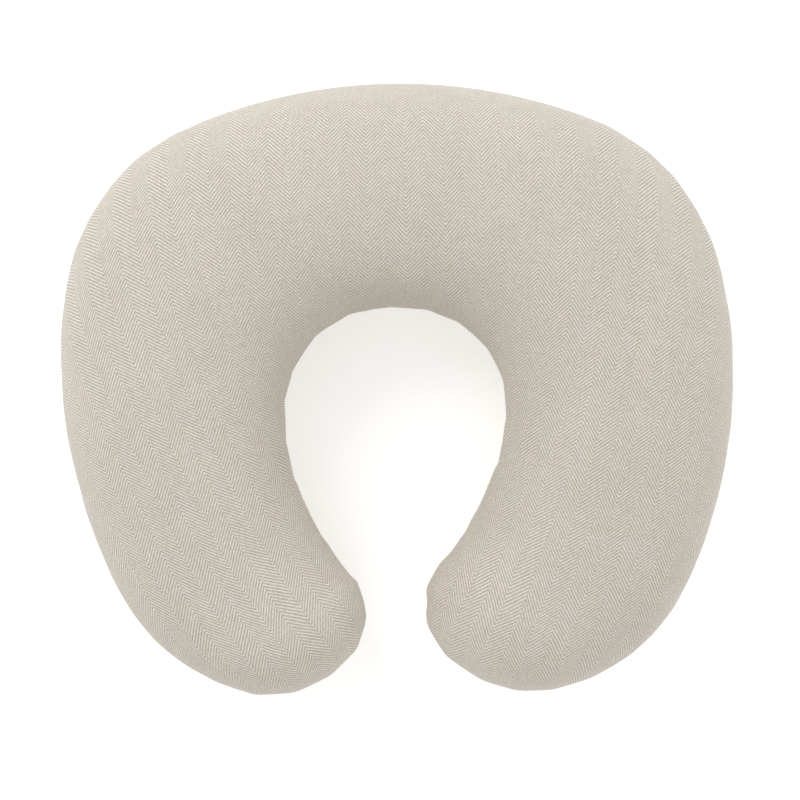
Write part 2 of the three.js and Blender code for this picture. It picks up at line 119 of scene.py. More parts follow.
OPENING_ANGLE = 20.6  # half of the zipper's opening, in degrees of the back arc
CLOSING_ANGLE = 0.95  # past it the panels come together
BACK_SHARE = 0.4  # of an arm; the zipper lies nearer to the back of the C than this
COVER_THICK = 0.9 * MM


class ArcLine:
    """A line of arcs that meet smoothly, read by the distance along it."""

    def __init__(self, start, arcs):
        self.pieces = []
        self.end = Vector(start)
        self.heading = 0.0
        self.length = 0.0
        for radius, turn in arcs:
            self.add(radius * MM, turn)

    def add(self, radius, turn):
        side = math.copysign(1, turn)
        centre = self.end + Vector((math.sin(self.heading), -math.cos(self.heading))) * side * radius
        self.pieces.append((centre, radius, side, self.heading, self.length))
        self.length += radius * math.radians(abs(turn))
        self.heading -= math.radians(turn)
        self.end = self.at(self.length)[0]

    def at(self, distance):
        piece = [p for p in self.pieces if p[4] <= distance + 1e-12][-1]
        centre, radius, side, heading, start = piece
        angle = heading - side * (distance - start) / radius
        outward = Vector((-math.sin(angle), math.cos(angle)))
        return centre + outward * side * radius, outward

    def place(self, arc, turn):
        return self.pieces[arc][4] + self.pieces[arc][1] * math.radians(turn)


def half_outline():
    line = ArcLine((0, HALF_DEPTH), OUTLINE_ARCS)
    turn_left = -180 - math.degrees(line.heading)
    line.add(line.end.x / math.sin(line.heading), -abs(turn_left))
    return line


OUTLINE = half_outline()
OUTER_TIP = OUTLINE.place(*OUTER_END)
INNER_TIP = OUTLINE.place(*INNER_END)


def spine_point(along):
    """Middle of the tube: 0 at the back of the C and 1 at the end of an arm."""
    outer = OUTLINE.at(along * OUTER_TIP)[0]
    inner = OUTLINE.at(OUTLINE.length - along * (OUTLINE.length - INNER_TIP))[0]
    return (outer + inner) / 2


def arm_places():
    """Places of the stations along an arm, from 0 to 1, closer together at the zipper's end."""
    first, last, step = (math.radians(angle) * BACK_RADIUS / OUTER_TIP for angle in FINE_ANGLES)
    even = [i / ARM_STEPS for i in range(ARM_STEPS + 1)]
    fine = list(np.arange(first, last, step))
    return sorted([along for along in even if not first - step < along < last + step / 2] + fine)


def half_stations():
    """Stations of the right half, clockwise: (point, outward, spine, along, inner).

    inner goes from -1 on the outer side of the arm to 1 on its inner side."""
    places = arm_places()
    inner_length = OUTLINE.length - INNER_TIP
    stops = [(along * OUTER_TIP, along, -1) for along in places]
    for i in range(1, TIP_STEPS):
        share = i / TIP_STEPS
        stops.append((OUTER_TIP + (INNER_TIP - OUTER_TIP) * share, 1, 2 * share - 1))
    stops += [(OUTLINE.length - along * inner_length, along, 1) for along in reversed(places)]
    return [(*OUTLINE.at(distance), spine_point(along), along, inner) for distance, along, inner in stops]


def all_stations():
    """Point, outward direction, spine point, along, inner and side of every station."""
    right = half_stations()
    left = [tuple(Vector((-v.x, v.y)) for v in s[:3]) + s[3:] for s in reversed(right[1:-1])]
    edge, outward, spine, along, inner = (np.array(values, float) for values in zip(*right, *left))
    side = np.repeat([1, -1], [len(right), len(left)])
    fills = sum(amount * smooth(along, start, end) for amount, start, end in (ARM_FILL, END_FILL))
    fuller = outward * (np.sign(edge[:, 0]) * fills)[:, None]
    return settled(edge) + fuller, outward, settled(spine), along, inner, side


def settled(points):
    """Moves even points to where the pillow's arms really lie."""
    reach = np.clip(-points[:, 1] / ARM_REACH, 0, MOST_REACH)
    drop = ARM_DROP * np.tanh(points[:, 0] / DROP_WIDTH) * reach
    return points + np.column_stack([ARM_SWAY * reach ** 2, drop])


def smooth(values, low, high):
    t = np.clip((np.asarray(values) - low) / (high - low), 0, 1)
    return t * t * (3 - 2 * t)


EDGE, OUTWARD, SPINE, ALONG, INNER, SIDE = all_stations()
COUNT = len(ALONG)


def zipper_share():
    """1 at the stations beside the zipper and 0 along the sewn seam."""
    x, y = EDGE.T
    angle = np.degrees(np.arctan2(np.abs(x), y - (HALF_DEPTH - BACK_RADIUS)))
    outer = (y > SPINE[:, 1]) & (ALONG < BACK_SHARE)
    return np.where(outer, 1 - smooth(angle, OPENING_ANGLE, OPENING_ANGLE + CLOSING_ANGLE), 0)


ZIPPED = zipper_share()
FULLNESS = 1 + (TIP_FULLNESS - 1) * smooth(ALONG, TAPER_START, 1)


def ring(inset, share, z):
    """One point at each station; inset, share and z are numbers or one value for each station."""
    inset, share, z = (np.broadcast_to(np.asarray(v, float), COUNT) for v in (inset, share, z))
    start = EDGE - OUTWARD * inset[:, None]
    place = start + (SPINE - start) * share[:, None]
    return np.column_stack([place, z])


def seam_rings(sewn, zipped):
    rows = []
    for (inset_a, z_a), (inset_b, z_b) in zip(sewn, zipped):
        inset = inset_a + (inset_b - inset_a) * ZIPPED
        z = z_a + (z_b - z_a) * ZIPPED
        rows.append(ring(inset * MM, 0, z * MM))
    return rows


def crown_rings(steps, base, top, inset=0, pinch=0):
    """Rings from a stuffed body's side up to its spine; pinch draws in the first of them."""
    rows = []
    for step in range(steps + 1):
        angle = math.radians(90 * step / steps)
        share = 1 - max(math.cos(angle), 0) ** ROUNDNESS if step < steps else 1
        rise = (top - base) * math.sin(angle) ** ROUNDNESS
        rows.append(ring(inset + pinch * math.exp(-step), share, base + rise))
    return rows


def under_rings(angles, base, floor, inset=0, pinch=0):
    """Rings from its side down to where it lies flat, and across to its spine."""
    rows = []
    full = math.sin(math.radians(FLAT_ANGLE)) ** ROUNDNESS
    for step, angle in enumerate(angles):
        share = 1 - math.cos(math.radians(angle)) ** UNDERSIDE_ROUNDNESS
        fall = (base - floor) * math.sin(math.radians(angle)) ** ROUNDNESS / full
        rows.append(ring(inset + pinch * math.exp(-step), share, base - fall))
    for step in range(1, FLAT_STEPS + 1):
        rows.append(ring(inset, share + (1 - share) * step / FLAT_STEPS, floor))
    return rows


TOP_SIDE = seam_rings(TOP_SEWN, TOP_ZIPPED)
TOP_RINGS = np.array(TOP_SIDE + crown_rings(CROWN_STEPS, WIDE_Z, HEIGHT * FULLNESS))
LOW_SIDE = seam_rings(LOW_SEWN, LOW_ZIPPED)
LOW_RINGS = np.array(LOW_SIDE + under_rings(UNDER_ANGLES, WIDE_Z, 0))


# ---- Cloth coordinates ----
# The weave runs straight down the back of the C. Along the arms it was cut for arms that stand
# further apart, so it leans inwards, and a point's place on the flat cloth is found by opening
# the arms again and laying the crowned section out flat.

# Leans in degrees of the right and the left arm, with where along the arm they start and end.
ARM_LEANS = {1: ((16, 0.1, 0.6), (6, 0.65, 1)), -1: ((24, 0.03, 0.62), (9, 0.75, 1))}
FAN = (8, 0.55, 1)  # more lean on the inner side and less on the outer side of an arm


def turned(vectors, angles):
    c, s = np.cos(angles), np.sin(angles)
    return np.column_stack([vectors[:, 0] * c - vectors[:, 1] * s, vectors[:, 0] * s + vectors[:, 1] * c])


def lean_angles():
    total = np.zeros(COUNT)
    for side, leans in ARM_LEANS.items():
        for degrees, start, end in leans:
            share = smooth(ALONG, start, end)
            total += np.where(SIDE == side, side * math.radians(degrees) * share, 0)
    return total


def opened_spine():
    """Where each station's spine point lies once the arms are opened."""
    lean = lean_angles()
    places = SPINE.copy()
    for side in (1, -1):
        order = [i for i in range(COUNT) if SIDE[i] == side]
        order.sort(key=lambda i: ALONG[i])
        here = Vector(SPINE[0])
        last = 0
        for i in order:
            step = SPINE[i] - SPINE[last]
            middle = np.array([(lean[i] + lean[last]) / 2])
            here = here + Vector(turned(step[None, :], middle)[0])
            places[i] = here
            last = i
    return places


def cloth_places(rings):
    """Flat-cloth coordinates of each ring point, in metres."""
    steps = np.linalg.norm(np.diff(rings, axis=0), axis=2)
    from_crown = np.concatenate([np.cumsum(steps[::-1], axis=0)[::-1], np.zeros((1, COUNT))])
    across = EDGE - SPINE
    across /= np.linalg.norm(across, axis=1)[:, None]
    degrees, start, end = FAN
    fan = math.radians(degrees) * smooth(ALONG, start, end)
    across = turned(across, lean_angles() + fan * INNER * SIDE)
    return opened_spine()[None] + across[None] * from_crown[:, :, None]


# ---- Meshes from rings ----

def spine_partners():
    """For each station, the first station that shares its spine point."""
    first = {}
    return np.array([first.setdefault(tuple(np.round(p, 6)), i) for i, p in enumerate(SPINE)])


PARTNERS = spine_partners()


def grid_faces(rows, upward):
    """Quads between rows of stations, facing out. The last row's points meet in pairs on the spine."""
    index = np.arange(rows * COUNT).reshape(rows, COUNT)
    index[-1] = index[-1][PARTNERS]
    faces = []
    for r in range(rows - 1):
        for i in range(COUNT):
            j = (i + 1) % COUNT
            corners = [index[r, i], index[r, j], index[r + 1, j], index[r + 1, i]]
            if upward:
                corners.reverse()
            unique = [int(c) for n, c in enumerate(corners) if c != corners[n - 1]]
            if len(unique) > 2:
                faces.append(unique)
    return faces


def closed_faces(top_rows, low_rows):
    """Faces of a top and a low grid, listed one after the other, that share the top's first row."""
    faces = grid_faces(top_rows, True)
    for face in grid_faces(low_rows, False):
        faces.append([c if c < COUNT else c + top_rows * COUNT for c in face])
    return faces


def strip_faces(lines, steps, flipped):
    """Quads of a sheet whose points come in lines of so many steps."""
    faces = []
    for line in range(lines):
        for step in range(steps):
            a = line * (steps + 1) + step
            corners = [a, a + 1, a + steps + 2, a + steps + 1]
            faces.append(corners[::-1] if flipped else corners)
    return faces


def in_use(faces):
    """The vertices that the faces use, and the faces renumbered for them alone."""
    used = sorted({c for face in faces for c in face})
    place = {c: n for n, c in enumerate(used)}
    return used, [[place[c] for c in face] for face in faces]


def mesh_object(name, points, faces):
    mesh = bpy.data.meshes.new(name)
    mesh.from_pydata([tuple(p) for p in points], [], faces)
    mesh.polygons.foreach_set("use_smooth", [True] * len(faces))
    mesh.update()
    made = bpy.data.objects.new(name, mesh)
    bpy.context.scene.collection.objects.link(made)
    return made


def lay_cloth(made, places):
    """Writes each vertex's place on the flat cloth, in metres, to the UV map of the weaves."""
    layer = made.data.uv_layers.new(name="cloth")
    corner_vertices = np.zeros(len(made.data.loops), int)
    made.data.loops.foreach_get("vertex_index", corner_vertices)
    layer.data.foreach_set("uv", np.asarray(places)[corner_vertices].ravel())


def cloth_object(name, points, faces, places):
    made = mesh_object(name, points, faces)
    lay_cloth(made, places)
    return made


def subdivide(made):
    fine = made.modifiers.new("fine", "SUBSURF")
    fine.levels = 1
    fine.render_levels = 1


def thicken(made, thickness, offset=-1):
    """Gives a sheet its thickness: inwards with offset -1, to both sides with 0."""
    thick = made.modifiers.new("thick", "SOLIDIFY")
    thick.thickness = thickness
    thick.offset = offset


def apply_modifiers(made):
    """Replaces a mesh by its modified self."""
    view = bpy.context.evaluated_depsgraph_get()
    done = bpy.data.meshes.new_from_object(made.evaluated_get(view), depsgraph=view)
    made.modifiers.clear()
    made.data = done


CAST_ROUNDS = 3  # of smoothing on a cast piece


class Shape:
    """Points and faces gathered from the parts of one piece."""

    def __init__(self):
        self.points = []
        self.faces = []

    def add(self, points, sides):
        """A solid with flat ends, from rings of so many points."""
        start = len(self.points)
        last = len(points) - sides
        self.points.extend(tuple(p) for p in points)
        faces = [list(range(sides))[::-1], list(range(last, last + sides))]
        for below in range(0, last, sides):
            for i in range(sides):
                j = (i + 1) % sides
                faces.append([below + i, below + j, below + sides + j, below + sides + i])
        self.faces.extend([start + c for c in face] for face in faces)

    def tube(self, path, radii, sides=8):
        """A closed tube along a path; radii is one number or one for each point."""
        path = np.asarray(path, float)
        radii = np.broadcast_to(radii, len(path))
        tangents = np.gradient(path, axis=0)
        tangents /= np.linalg.norm(tangents, axis=1)[:, None]
        axis = np.eye(3)[np.argmin(np.abs(tangents[0]))]
        rings = []
        for centre, tangent, radius in zip(path, tangents, radii):
            axis = axis - tangent * (axis @ tangent)
            axis /= np.linalg.norm(axis)
            other = np.cross(tangent, axis)
            for i in range(sides):
                turn = 2 * math.pi * i / sides
                rings.append(centre + radius * (math.cos(turn) * axis + math.sin(turn) * other))
        self.add(rings, sides)

    def prism(self, outline, low, high, place):
        """An outline pushed out from low to high; place turns (u, v, height) into a point."""
        points = [place(u, v, height) for height in (low, high) for u, v in outline]
        self.add(points, len(outline))

    def made(self, name):
        return mesh_object(name, self.points, self.faces)

    def cast(self, name, grain):
        """The parts run together into one smooth body, as in a casting."""
        made = self.made(name)
        melted = made.modifiers.new("melt", "REMESH")
        melted.mode = "VOXEL"
        melted.voxel_size = grain
        melted.use_smooth_shade = True
        softened = made.modifiers.new("soften", "SMOOTH")
        softened.factor = 0.5
        softened.iterations = CAST_ROUNDS
        apply_modifiers(made)
        return made


# ---- Easing and inflating the cover ----

CLOTH_SETTINGS = {
    "quality": 6,
    "mass": 0.3,
    "tension_stiffness": 25,
    "compression_stiffness": 25,
    "shear_stiffness": 8,
    "bending_stiffness": 1.5,
    "air_damping": 2,
    "use_pressure": True,
    "uniform_pressure_force": 4,
    "vertex_group_mass": "held",
    "pin_stiffness": 5,
}
SIM_FRAMES = 20
START_INSET = 1.5 * MM
DRIFT_ROUNDS = 60  # smoothing that finds the broad part of the moves
MOST_MOVE = 4 * MM
ZIPPER_HOLD = (14 * MM, 34 * MM)  # beside the zipper the cloth is held, less between these heights
FLOOR_HOLD = 0.5 * MM  # and all of it that lies lower than this


def flat_depths():
    """How far each station moves in when the outline runs straighter between uneven gathers.

    The gathers stand out by as much as keeps the outline's mean place."""
    edge, outward = EDGE, OUTWARD
    steps = np.linalg.norm(np.roll(edge, -1, axis=0) - edge, axis=1)
    places = np.concatenate([[0], np.cumsum(steps)])
    number = round(places[-1] / FLAT_LENGTH)
    wander = [FLAT_WANDER * noise.noise(Vector((0.71 * k, 0.3, 0))) for k in range(number + 1)]
    gathers = np.arange(number + 1) + np.array(wander)
    gathers = (gathers - gathers[0]) / (gathers[-1] - gathers[0]) * places[-1]
    before, after = np.roll(outward, 1, axis=0), np.roll(outward, -1, axis=0)
    turn = np.arcsin(before[:, 1] * after[:, 0] - before[:, 0] * after[:, 1])
    curve = turn / (steps + np.roll(steps, 1))
    which = np.clip(np.searchsorted(gathers, places[:-1], side="right") - 1, 0, number - 1)
    length = gathers[which + 1] - gathers[which]
    share = (places[:-1] - gathers[which]) / length
    return FLAT_SHARE * curve * length ** 2 / 8 * (1 / 3 - (2 * share - 1) ** 2)


def eased(rings):
    """The rings with the cloth drawn in between gathers, along the seam and at the tucks."""
    edge = EDGE
    depth = np.zeros(rings.shape[:2])
    flats = flat_depths()
    for i, (x, y) in enumerate(edge):
        z = rings[:, i, 2]
        low_down = np.exp(-((z - WIDE_Z) / FLAT_REACH) ** 2)
        swell = SWELL_DEPTH * noise.noise(Vector((x, y, 0.37)) / SWELL_LENGTH)
        away = min(math.dist((x, y), (u * MM, v * MM)) for u, v in TUCKS)
        tuck = TUCK_DEPTH * math.exp(-(away / TUCK_WIDTH) ** 2)
        depth[:, i] = (flats[i] + swell + tuck) * low_down
        for most, length, height in GATHERS:
            gather = 0.5 + noise.noise(Vector((x, y, 0.11)) / length)
            depth[:, i] += most * gather * np.exp(-np.abs(z - SEAM_Z) / height)
    depth *= 1 - ZIPPED
    moved = rings.copy()
    moved[:, :, :2] -= OUTWARD[None] * depth[:, :, None]
    moved[-1] = rings[-1]
    return moved


def simulate(points, faces, held):
    """Cloth positions after inflation; held gives each point's weight for pinning."""
    cloth = mesh_object("cloth_trial", points, faces)
    group = cloth.vertex_groups.new(name="held")
    for i, weight in enumerate(held):
        if weight > 0:
            group.add([i], float(weight), "REPLACE")
    modifier = cloth.modifiers.new("cloth", "CLOTH")
    for key, value in CLOTH_SETTINGS.items():
        setattr(modifier.settings, key, value)
    modifier.settings.effector_weights.gravity = 0
    modifier.collision_settings.use_collision = False
    modifier.point_cache.frame_start = 1
    modifier.point_cache.frame_end = SIM_FRAMES
    for step in range(1, SIM_FRAMES + 1):
        bpy.context.scene.frame_set(step)
    posed = cloth.evaluated_get(bpy.context.evaluated_depsgraph_get())
    result = np.array([v.co[:] for v in posed.data.vertices])
    bpy.context.scene.frame_set(1)
    bpy.data.objects.remove(cloth)
    return result


def broad_part(values, faces):
    """The values smoothed over a mesh, by averaging each point with its neighbours again and again."""
    pairs = np.array([(a, b) for face in faces for a, b in zip(face, face[1:] + face[:1])])
    pairs = np.unique(np.sort(pairs, axis=1), axis=0)
    number = np.bincount(pairs.ravel(), minlength=len(values))[:, None] + 1
    for _ in range(DRIFT_ROUNDS):
        total = values.copy()
        np.add.at(total, pairs[:, 0], values[pairs[:, 1]])
        np.add.at(total, pairs[:, 1], values[pairs[:, 0]])
        values = total / number
    return values


def inflate(top, low):
    """Creases of the top and the low rings, from one closed skin blown up inside its seam.

    The broad part of the simulated moves is taken out again, so the pillow keeps its size."""
    top, low = top[HEM_ROWS:], low[HEM_ROWS:]
    seam = (top[0] + low[0]) / 2
    points = np.concatenate([seam, top[1:].reshape(-1, 3), seam, low[1:].reshape(-1, 3)])
    count = len(top) * COUNT
    used, faces = in_use(closed_faces(len(top), len(low)))
    numbers = np.arange(len(points))
    station = numbers % COUNT
    z = points[:, 2]
    beside_zipper = ZIPPED[station] * (1 - smooth(np.abs(z - SEAM_Z), *ZIPPER_HOLD))
    underneath = (numbers >= count) & (z < FLOOR_HOLD)
    held = np.clip(beside_zipper + underneath, 0, 1)[used]
    start = points[used].copy()
    inward = SPINE[station][used] - start[:, :2]
    length = np.maximum(np.linalg.norm(inward, axis=1), 1e-6)[:, None]
    start[:, :2] += inward / length * np.minimum(START_INSET, length) * (1 - held[:, None])
    found = simulate(start, faces, held) - points[used]
    found = (found - broad_part(found, faces)) * (1 - held[:, None])
    size = np.linalg.norm(found, axis=1)[:, None]
    found *= MOST_MOVE * np.tanh(size / MOST_MOVE) / np.maximum(size, 1e-9)
    moves = np.zeros_like(points)
    moves[used] = found
    moves[count:count + COUNT] = moves[:COUNT]
    return [with_hem(moves[part].reshape(-1, COUNT, 3)) for part in (slice(0, count), slice(count, None))]


def with_hem(moves):
    """The turned-in hem goes where the seam goes, and paired stations on the spine go together."""
    moves[-1] = moves[-1][PARTNERS]
    return np.concatenate([np.repeat(moves[:1], HEM_ROWS, axis=0), moves])


# ---- Materials ----

def new_material(name):
    material = bpy.data.materials.new(name)
    material.use_nodes = True
    material.node_tree.nodes.clear()
    return material, Wiring(material.node_tree)


class Value:
    """A node's output. Arithmetic on it makes nodes, so that a pattern reads like a formula."""

    def __init__(self, wiring, socket):
        self.wiring = wiring
        self.socket = socket

    def __add__(self, other):
        return self.wiring.math("ADD", self, other)

    def __sub__(self, other):
        return self.wiring.math("SUBTRACT", self, other)

    def __rsub__(self, other):
        return self.wiring.math("SUBTRACT", other, self)

    def __mul__(self, other):
        return self.wiring.math("MULTIPLY", self, other)

    def __truediv__(self, other):
        return self.wiring.math("DIVIDE", self, other)

    def __mod__(self, other):
        return self.wiring.math("FLOORED_MODULO", self, other)


class Wiring:
    """Short calls for making nodes. An input is a number, a colour or a Value."""

    def __init__(self, tree):
        self.tree = tree

    def node(self, kind, inputs=None, **settings):
        made = self.tree.nodes.new("ShaderNode" + kind)
        for key, setting in settings.items():
            setattr(made, key, setting)
        for key, given in (inputs or {}).items():
            self.put(made.inputs[key], given)
        return made

    def value(self, kind, output=0, inputs=None, **settings):
        return Value(self, self.node(kind, inputs, **settings).outputs[output])

    def put(self, socket, given):
        if isinstance(given, Value):
            self.tree.links.new(given.socket, socket)
        else:
            socket.default_value = given

    def math(self, operation, *inputs):
        return self.value("Math", 0, dict(enumerate(inputs)), operation=operation)

    def ramp(self, value, low, high, out_low=0.0, out_high=1.0):
        """A value that eases from out_low to out_high while the given one goes from low to high."""
        limits = dict(enumerate((value, low, high, out_low, out_high)))
        return self.value("MapRange", 0, limits, interpolation_type="SMOOTHSTEP")

    def mix(self, share, a, b, blend="MIX"):
        """A colour between two colours."""
        return self.value("Mix", 2, {0: share, 6: a, 7: b}, data_type="RGBA", blend_type=blend)

    def between(self, share, a, b):
        """A number between two numbers."""
        return self.value("Mix", 0, {0: share, 2: a, 3: b}, data_type="FLOAT")

    def pair(self, x, y):
        return self.value("CombineXYZ", 0, {0: x, 1: y})

    def cloth(self, unit):
        """The place on the flat cloth, and its two coordinates in a unit."""
        place = self.value("UVMap", uv_map="cloth")
        split = self.node("SeparateXYZ", {0: place})
        return place, *(Value(self, split.outputs[k]) * (1 / unit) for k in (0, 1))

    def on_object(self):
        return self.value("TexCoord", "Object")

    def noise(self, vector, scale, detail=2.0, rough=0.5):
        given = {"Vector": vector, "Scale": scale, "Detail": detail, "Roughness": rough}
        return self.value("TexNoise", "Fac", given)

    def bump(self, height, distance, strength):
        return self.value("Bump", 0, {"Height": height, "Distance": distance, "Strength": strength})

    def surface(self, color, roughness, normal=None, fixed=None):
        given = {"Base Color": color, "Roughness": roughness, **(fixed or {})}
        if normal is not None:
            given["Normal"] = normal
        self.node("OutputMaterial", {0: self.value("BsdfPrincipled", 0, given)})


def srgb(red, green, blue):
    def linear(c):
        c /= 255
        return c / 12.92 if c <= 0.04045 else ((c + 0.055) / 1.055) ** 2.4
    return (linear(red), linear(green), linear(blue), 1)


WARP_PITCH = 0.74  # mm from one lengthwise thread of the cover to the next
WEFT_PITCH = 0.82  # and from one crosswise thread to the next
TWILL = 4 * WEFT_PITCH  # a twill line every four threads
COLUMN = 20 * WARP_PITCH  # threads between two reversals of the herringbone
FIRST_COLUMN = 3.5  # mm from a reversal to the middle of the back
LIGHT_YARNS = (srgb(219, 214, 203), srgb(226, 221, 211))
DARK_YARNS = (srgb(185, 175, 161), srgb(193, 184, 170))
WARM_DRIFT = (0.006, 0, -0.018)  # of red, green and blue between its cool and its warm places
YARN_FALL = 3.2  # how round a yarn's section is
YARN_RELIEF = 0.22 * MM
WEFT_HEIGHT = 0.62  # of the sunk weft, with 1 for the warp
OWN_SHADE = 1.7  # step in the noise from a yarn to the next
YARN_DRIFT = 26  # mm along a yarn over which its shade drifts


def yarn_crown(w, position, pitch):
    """Height of round yarns side by side: 1 along their middle lines."""
    off = w.math("FRACT", position / pitch) - 0.5
    return 1 - off * off * YARN_FALL


def herringbone():
    """Twill whose slant turns round at every column: light warp floats over a darker weft."""
    material, w = new_material("herringbone_cloth")
    place, across, down = w.cloth(MM)
    across = across + FIRST_COLUMN
    odd = w.math("FLOOR", across / COLUMN) % 2
    slant = 1 - odd * 2
    warp = w.math("FLOOR", across / WARP_PITCH)
    weft = w.math("FLOOR", down / WEFT_PITCH)
    phase = (down + slant * warp * WEFT_PITCH) / TWILL + odd * 0.5
    float_share = w.ramp(w.math("SINE", phase * (2 * math.pi)), -0.35, 0.35)
    sunk_weft = yarn_crown(w, down, WEFT_PITCH) * WEFT_HEIGHT
    height = w.between(float_share, sunk_weft, yarn_crown(w, across, WARP_PITCH))
    # Slubs: each yarn has its own shade, and it drifts along the yarn
    warp_own = w.noise(w.pair(warp * OWN_SHADE, down / YARN_DRIFT), 1, 1)
    weft_own = w.noise(w.pair(across / YARN_DRIFT, weft * OWN_SHADE), 1, 1)
    light = w.mix(w.ramp(warp_own, 0.25, 0.75), *LIGHT_YARNS)
    dark = w.mix(w.ramp(weft_own, 0.25, 0.75), *DARK_YARNS)
    # Painted shade in the grooves between the yarns, faint broad patches, and at each crossing a random
    # tone that is partly a painted glint
    groove_shade = w.ramp(height, 0.1, 0.75, 0.74, 1)
    patch = w.ramp(w.noise(place, 16), 0.3, 0.7, 0.985, 1.015)
    fleck_and_glint = w.value("TexWhiteNoise", "Value", {"Vector": w.pair(warp, weft)}, noise_dimensions="2D")
    tone = groove_shade * patch * w.ramp(fleck_and_glint, 0, 1, 0.9, 1.1)
    # Undyed yarn: it is a little warmer here and a little cooler there
    warmth = w.noise(place, 60, 3, 0.65)
    tones = [tone * w.ramp(warmth, 0.3, 0.7, 1 - drift, 1 + drift) for drift in WARM_DRIFT]
    shade = w.value("CombineColor", 0, dict(enumerate(tones)))
    color = w.mix(1, w.mix(float_share, dark, light), shade, "MULTIPLY")
    look = {"Sheen Weight": 0.12, "Sheen Roughness": 0.5, "Specular IOR Level": 0.25}
    w.surface(color, w.ramp(height, 0.2, 1, 0.98, 0.86), w.bump(height, YARN_RELIEF, 0.8), look)
    return material


def plain_weave(name, light, dark, pitch, depth):
    """An over-and-under weave on the flat cloth, with uneven yarns and painted shade where the threads
    dip; pitch and depth in mm.
    """
    material, w = new_material(name)
    _, across, down = w.cloth(pitch * MM)
    warp, weft = w.math("FLOOR", across), w.math("FLOOR", down)
    crowns = [w.math("ABSOLUTE", w.math("SINE", thread * math.pi)) for thread in (down, across)]
    height = w.between((warp + weft) % 2, *crowns)
    own = w.noise(w.pair(warp, weft * 0.7), 0.37, 1)
    # Painted shade: darker where the threads dip under each other, mixed with each yarn's own random tone
    color = w.mix(height * 0.6 + own * 0.4, srgb(*dark), srgb(*light))
    rough = w.ramp(own, 0.3, 0.7, 0.85, 0.97)
    w.surface(color, rough, w.bump(height, depth * MM, 0.7), {"Sheen Weight": 0.15})
    return material


def thread_material():
    """Twisted sewing thread, with painted shade in the grooves of its twist."""
    material, w = new_material("sewing_thread")
    given = {"Vector": w.on_object(), "Scale": 700, "Distortion": 1.5}
    ply = w.value("TexWave", "Fac", given, wave_type="BANDS", bands_direction="DIAGONAL")
    # Painted shade: darker where the twist's grooves sink
    color = w.mix(ply, srgb(190, 180, 165), srgb(224, 216, 202))
    w.surface(color, w.ramp(ply, 0, 1, 0.8, 0.6), w.bump(ply, 0.1 * MM, 0.8))
    return material


def nylon():
    """Zipper coil: slightly glossy polyester with fine drawing marks."""
    material, w = new_material("coil_polyester")
    grain = w.noise(w.on_object(), 1800, 3)
    color = w.mix(grain, srgb(196, 188, 174), srgb(218, 211, 198))
    w.surface(color, w.ramp(grain, 0.3, 0.7, 0.36, 0.52), w.bump(grain, 0.04 * MM, 0.6))
    return material


def nickel():
    """Satin plated metal, brushed a little and rubbed bright in random patches."""
    material, w = new_material("satin_nickel")
    place = w.on_object()
    stretched = w.value("Mapping", 0, {"Vector": place, "Scale": (300, 300, 4000)})
    brushed = w.noise(stretched, 1, 4, 0.6)
    worn = w.noise(place, 260, 3)
    color = w.mix(worn, srgb(186, 184, 180), srgb(214, 212, 207))
    rough = w.ramp(brushed, 0.3, 0.7, 0.24, 0.36) + w.ramp(worn, 0.4, 0.7, 0, 0.1)
    w.surface(color, rough, w.bump(brushed, 0.02 * MM, 0.5), {"Metallic": 1})
    return material


def fibre():
    """Loose white filling: tangled fibres with soft clumps."""
    material, w = new_material("polyester_fibre")
    place = w.on_object()
    strands = w.noise(place, 600, 6, 0.7)
    clumps = w.noise(place, 40, 3)
    color = w.mix(strands, srgb(226, 226, 224), srgb(250, 250, 248))
    rough = w.ramp(strands, 0.3, 0.7, 0.9, 1)
    w.surface(color, rough, w.bump(strands + clumps * 2, 2 * MM, 0.7), {"Sheen Weight": 0.4})
    return material


def floor_material():
    material, w = new_material("studio_floor")
    grain = w.noise(w.on_object(), 14, 3)
    color = w.mix(grain, (0.90, 0.90, 0.90, 1), (0.93, 0.93, 0.93, 1))
    glow = {"Emission Color": (1, 1, 1, 1), "Emission Strength": 0.36}
    w.surface(color, w.ramp(grain, 0.3, 0.7, 0.8, 0.9), None, glow)
    return material


MATERIALS = {
    "cover_fabric": herringbone(),
    "casing_fabric": plain_weave("casing_poly_cotton", (244, 242, 238), (222, 219, 212), 0.6, 0.08),
    "label_ribbon": plain_weave("label_ribbon", (248, 247, 243), (232, 230, 224), 0.35, 0.04),
    "zipper_tape": plain_weave("zipper_tape_weave", (206, 197, 182), (172, 161, 144), 0.7, 0.1),
    "sewing_thread": thread_material(),
    "zipper_coil": nylon(),
    "zipper_metal": nickel(),
    "fibre_fill": fibre(),
}


def finish_piece(piece, slot, node=None, body="pillow"):
    """Gives a piece the material of its slot and a body to ride on, and hides the imported part of the
    node it stands for.
    """
    piece.data.materials.clear()
    piece.data.materials.append(MATERIALS[slot])
    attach(piece, body)
    if node:
        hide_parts(node)


# ---- Cover panels ----

def cloth_shell(name, rings, base, upward, thickness):
    """A cloth shell over rings of points; base is where the rings lay before they were creased."""
    used, faces = in_use(grid_faces(len(rings), upward))
    flat = cloth_places(base).reshape(-1, 2)
    made = cloth_object(name, rings.reshape(-1, 3)[used], faces, flat[used])
    subdivide(made)
    thicken(made, thickness)
    return made


def cover():
    top, low = eased(TOP_RINGS), eased(LOW_RINGS)
    for rings, moves in zip((top, low), inflate(top, low)):
        rings += moves
    low[:, :, 2] = np.maximum(low[:, :, 2], 0)
    for name, rings, base, upward in (("top", top, TOP_RINGS, True), ("bottom", low, LOW_RINGS, False)):
        made = cloth_shell("cover_" + name, rings, base, upward, COVER_THICK)
        finish_piece(made, "cover_fabric", f"cover_{name}_panel")


# ---- Inner casing and filling ----

